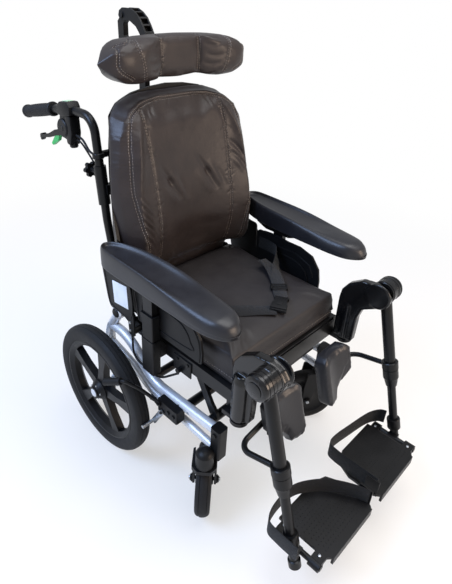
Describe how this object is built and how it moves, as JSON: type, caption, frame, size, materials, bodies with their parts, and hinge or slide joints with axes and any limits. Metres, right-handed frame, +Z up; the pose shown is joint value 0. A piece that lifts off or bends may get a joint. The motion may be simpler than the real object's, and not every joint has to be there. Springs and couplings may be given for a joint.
{
  "type": "tilt in space wheelchair",
  "caption": "Attendant-pushed tilt in space wheelchair with reclining back, wing head support, height-adjustable arm pads and elevating swing-away leg supports.",
  "frame": {"origin": "on the floor at the middle of the footprint", "axes": "+X to the seated person's left, +Y rearwards, +Z up"},
  "size_m": [0.7026, 1.1742, 1.188],
  "materials": {
    "frame_silver": "silver, satin",
    "frame_black": "black powder coat",
    "composite": "black moulded composite, fine grain",
    "gloss_black": "black, semi-gloss",
    "leatherette": "black coated upholstery",
    "webbing": "black woven webbing",
    "tyre": "solid rubber",
    "rubber": "matte rubber",
    "steel": "bright steel"
  },
  "bodies": {
    "base": {"side_frame_left": "frame_silver", "side_frame_right": "frame_silver", "cross_tubes": "frame_black", "castor_housings": "composite", "lock_blocks": "composite"},
    "rear_wheel_left": {"rear_wheel_left": "composite", "rear_tyre_left": "tyre"},
    "castor_fork_left": {"castor_fork_left": "frame_black"},
    "castor_wheel_left": {"castor_wheel_left": "tyre"},
    "lock_lever_left": {"lock_lever_left": "frame_black"},
    "lock_shoe_left": {"lock_shoe_left": "steel"},
    "rear_wheel_right": {"rear_wheel_right": "composite", "rear_tyre_right": "tyre"},
    "castor_fork_right": {"castor_fork_right": "frame_black"},
    "castor_wheel_right": {"castor_wheel_right": "tyre"},
    "lock_lever_right": {"lock_lever_right": "frame_black"},
    "lock_shoe_right": {"lock_shoe_right": "steel"},
    "seat": {"seat_frame": "frame_black", "seat_cushion": "leatherette", "lap_belt": "webbing", "side_panels": "composite", "arm_receivers": "frame_black", "control_cables": "rubber"},
    "arm_left": {"arm_post_left": "frame_black", "arm_pad_left": "leatherette"},
    "arm_right": {"arm_post_right": "frame_black", "arm_pad_right": "leatherette"},
    "tilt_cylinder": {"tilt_cylinder": "frame_black"},
    "tilt_rod": {"tilt_rod": "steel"},
    "recline_cylinder": {"recline_cylinder": "frame_black"},
    "recline_rod": {"recline_rod": "steel"},
    "back": {"back_frame": "frame_black", "back_shell": "composite", "back_cushion": "leatherette"},
    "handles": {"push_handles": "frame_black", "push_grips": "rubber", "lever_housings": "composite", "handle_cables": "rubber"},
    "hand_lever_left": {"hand_lever_left": "composite"},
    "star_knob_left": {"star_knob_left": "composite"},
    "hand_lever_right": {"hand_lever_right": "composite"},
    "star_knob_right": {"star_knob_right": "composite"},
    "head_post": {"head_post": "frame_black"},
    "head_arch": {"head_arch": "frame_black"},
    "head_rest": {"head_bracket": "frame_black", "head_pad": "leatherette"},
    "leg_hanger_left": {"leg_hanger_left": "gloss_black"},
    "leg_tube_left": {"leg_tube_left": "frame_black"},
    "leg_slider_left": {"leg_slider_left": "frame_black", "heel_strap_left": "webbing"},
    "footplate_left": {"footplate_left": "composite"},
    "calf_left": {"calf_arm_left": "frame_black", "calf_pad_left": "leatherette"},
    "leg_hanger_right": {"leg_hanger_right": "gloss_black"},
    "leg_tube_right": {"leg_tube_right": "frame_black"},
    "leg_slider_right": {"leg_slider_right": "frame_black", "heel_strap_right": "webbing"},
    "footplate_right": {"footplate_right": "composite"},
    "calf_right": {"calf_arm_right": "frame_black", "calf_pad_right": "leatherette"}
  },
  "joints": [
    {"name": "seat_tilt", "type": "hinge", "parent": "base", "child": "seat", "pos_m": [0, 0.1449, 0.453], "axis": [-1, 0, 0], "range_deg": [0, 20]},
    {"name": "tilt_cylinder_swing", "type": "hinge", "parent": "base", "child": "tilt_cylinder", "pos_m": [-0.045, -0.0171, 0.3], "axis": [-1, 0, 0], "range_deg": [0, 22]},
    {"name": "tilt_rod_slide", "type": "slide", "parent": "tilt_cylinder", "child": "tilt_rod", "axis": [0, -0.8278, 0.561], "range_m": [0, 0.08]},
    {"name": "back_recline", "type": "hinge", "parent": "seat", "child": "back", "pos_m": [0, 0.1629, 0.5], "axis": [-1, 0, 0], "range_deg": [0, 30]},
    {"name": "recline_cylinder_swing", "type": "hinge", "parent": "seat", "child": "recline_cylinder", "pos_m": [0.045, -0.1691, 0.396], "axis": [1, 0, 0], "range_deg": [0, 5]},
    {"name": "recline_rod_slide", "type": "slide", "parent": "recline_cylinder", "child": "recline_rod", "axis": [0, -0.9998, -0.0194], "range_m": [0, 0.047]},
    {"name": "handle_height", "type": "slide", "parent": "back", "child": "handles", "axis": [0, 0.1132, 0.9936], "range_m": [0, 0.05]},
    {"name": "head_height", "type": "slide", "parent": "back", "child": "head_post", "axis": [0, 0, 1], "range_m": [0, 0.05]},
    {"name": "head_swing", "type": "hinge", "parent": "head_post", "child": "head_arch", "pos_m": [0, 0.3669, 1.17], "axis": [-1, 0, 0], "range_deg": [0, 20]},
    {"name": "head_pad_tilt", "type": "hinge", "parent": "head_arch", "child": "head_rest", "pos_m": [0, 0.2649, 1.098], "axis": [-1, 0, 0], "range_deg": [0, 15]},
    {"name": "rear_wheel_spin_left", "type": "hinge", "parent": "base", "child": "rear_wheel_left", "pos_m": [0.288, 0.1609, 0.2], "axis": [1, 0, 0], "continuous": true},
    {"name": "castor_swivel_left", "type": "hinge", "parent": "base", "child": "castor_fork_left", "pos_m": [0.262, -0.2401, 0.23], "axis": [0, 0, 1], "continuous": true},
    {"name": "castor_spin_left", "type": "hinge", "parent": "castor_fork_left", "child": "castor_wheel_left", "pos_m": [0.22825, -0.21034, 0.095], "axis": [0.6613, 0.7501, 0], "continuous": true},
    {"name": "lock_left", "type": "hinge", "parent": "base", "child": "lock_lever_left", "pos_m": [0.265, -0.0671, 0.289], "axis": [1, 0, 0], "range_deg": [0, 60]},
    {"name": "lock_shoe_turn_left", "type": "hinge", "parent": "base", "child": "lock_shoe_left", "pos_m": [0.265, -0.0791, 0.266], "axis": [-1, 0, 0], "range_deg": [0, 15]},
    {"name": "arm_height_left", "type": "slide", "parent": "seat", "child": "arm_left", "axis": [0, 0, 1], "range_m": [0, 0.06]},
    {"name": "hand_lever_squeeze_left", "type": "hinge", "parent": "handles", "child": "hand_lever_left", "pos_m": [0.2, 0.3659, 0.887], "axis": [1, 0, 0], "range_deg": [0, 15], "stiffness_Nm_per_rad": 3, "springref_deg": -17.19},
    {"name": "star_knob_turn_left", "type": "hinge", "parent": "back", "child": "star_knob_left", "pos_m": [0.2, 0.26547, 0.82124], "axis": [0, 0.9936, -0.1132], "continuous": true},
    {"name": "leg_swing_left", "type": "hinge", "parent": "seat", "child": "leg_hanger_left", "pos_m": [0.222, -0.3051, 0.43], "axis": [0, 0, 1], "range_deg": [0, 90]},
    {"name": "leg_raise_left", "type": "hinge", "parent": "leg_hanger_left", "child": "leg_tube_left", "pos_m": [0.25, -0.3831, 0.575], "axis": [-1, 0, 0], "range_deg": [0, 70]},
    {"name": "leg_length_left", "type": "slide", "parent": "leg_tube_left", "child": "leg_slider_left", "axis": [0, -0.284, -0.9588], "range_m": [0, 0.08], "deforming": ["heel_strap_left"]},
    {"name": "footplate_flip_left", "type": "hinge", "parent": "leg_slider_left", "child": "footplate_left", "pos_m": [0.228, -0.5111, 0.145], "axis": [0, -1, 0], "range_deg": [0, 75]},
    {"name": "calf_swing_left", "type": "hinge", "parent": "leg_tube_left", "child": "calf_left", "pos_m": [0.242, -0.4453, 0.36502], "axis": [0, 0.284, 0.9588], "range_deg": [0, 60]},
    {"name": "rear_wheel_spin_right", "type": "hinge", "parent": "base", "child": "rear_wheel_right", "pos_m": [-0.288, 0.1609, 0.2], "axis": [1, 0, 0], "continuous": true},
    {"name": "castor_swivel_right", "type": "hinge", "parent": "base", "child": "castor_fork_right", "pos_m": [-0.262, -0.2401, 0.23], "axis": [0, 0, 1], "continuous": true},
    {"name": "castor_spin_right", "type": "hinge", "parent": "castor_fork_right", "child": "castor_wheel_right", "pos_m": [-0.22825, -0.21034, 0.095], "axis": [0.6613, -0.7501, 0], "continuous": true},
    {"name": "lock_right", "type": "hinge", "parent": "base", "child": "lock_lever_right", "pos_m": [-0.265, -0.0671, 0.289], "axis": [1, 0, 0], "range_deg": [0, 60]},
    {"name": "lock_shoe_turn_right", "type": "hinge", "parent": "base", "child": "lock_shoe_right", "pos_m": [-0.265, -0.0791, 0.266], "axis": [-1, 0, 0], "range_deg": [0, 15]},
    {"name": "arm_height_right", "type": "slide", "parent": "seat", "child": "arm_right", "axis": [0, 0, 1], "range_m": [0, 0.06]},
    {"name": "hand_lever_squeeze_right", "type": "hinge", "parent": "handles", "child": "hand_lever_right", "pos_m": [-0.2, 0.3659, 0.887], "axis": [1, 0, 0], "range_deg": [0, 15], "stiffness_Nm_per_rad": 3, "springref_deg": -17.19},
    {"name": "star_knob_turn_right", "type": "hinge", "parent": "back", "child": "star_knob_right", "pos_m": [-0.2, 0.26547, 0.82124], "axis": [0, 0.9936, -0.1132], "continuous": true},
    {"name": "leg_swing_right", "type": "hinge", "parent": "seat", "child": "leg_hanger_right", "pos_m": [-0.222, -0.3051, 0.43], "axis": [0, 0, -1], "range_deg": [0, 90]},
    {"name": "leg_raise_right", "type": "hinge", "parent": "leg_hanger_right", "child": "leg_tube_right", "pos_m": [-0.25, -0.3831, 0.575], "axis": [-1, 0, 0], "range_deg": [0, 70]},
    {"name": "leg_length_right", "type": "slide", "parent": "leg_tube_right", "child": "leg_slider_right", "axis": [0, -0.284, -0.9588], "range_m": [0, 0.08], "deforming": ["heel_strap_right"]},
    {"name": "footplate_flip_right", "type": "hinge", "parent": "leg_slider_right", "child": "footplate_right", "pos_m": [-0.228, -0.5111, 0.145], "axis": [0, 1, 0], "range_deg": [0, 75]},
    {"name": "calf_swing_right", "type": "hinge", "parent": "leg_tube_right", "child": "calf_right", "pos_m": [-0.242, -0.4453, 0.36502], "axis": [0, -0.284, -0.9588], "range_deg": [0, 60]}
  ],
  "couplings": [
    {"joint": "tilt_cylinder_swing", "follows": "seat_tilt", "ratio": 1.0649},
    {"joint": "tilt_rod_slide", "follows": "seat_tilt", "m_per_rad": 0.22082},
    {"joint": "recline_cylinder_swing", "follows": "back_recline", "ratio": 0.16077},
    {"joint": "recline_rod_slide", "follows": "back_recline", "m_per_rad": 0.087439},
    {"joint": "lock_shoe_turn_left", "follows": "lock_left", "ratio": 0.25},
    {"joint": "lock_shoe_turn_right", "follows": "lock_right", "ratio": 0.25}
  ]
}
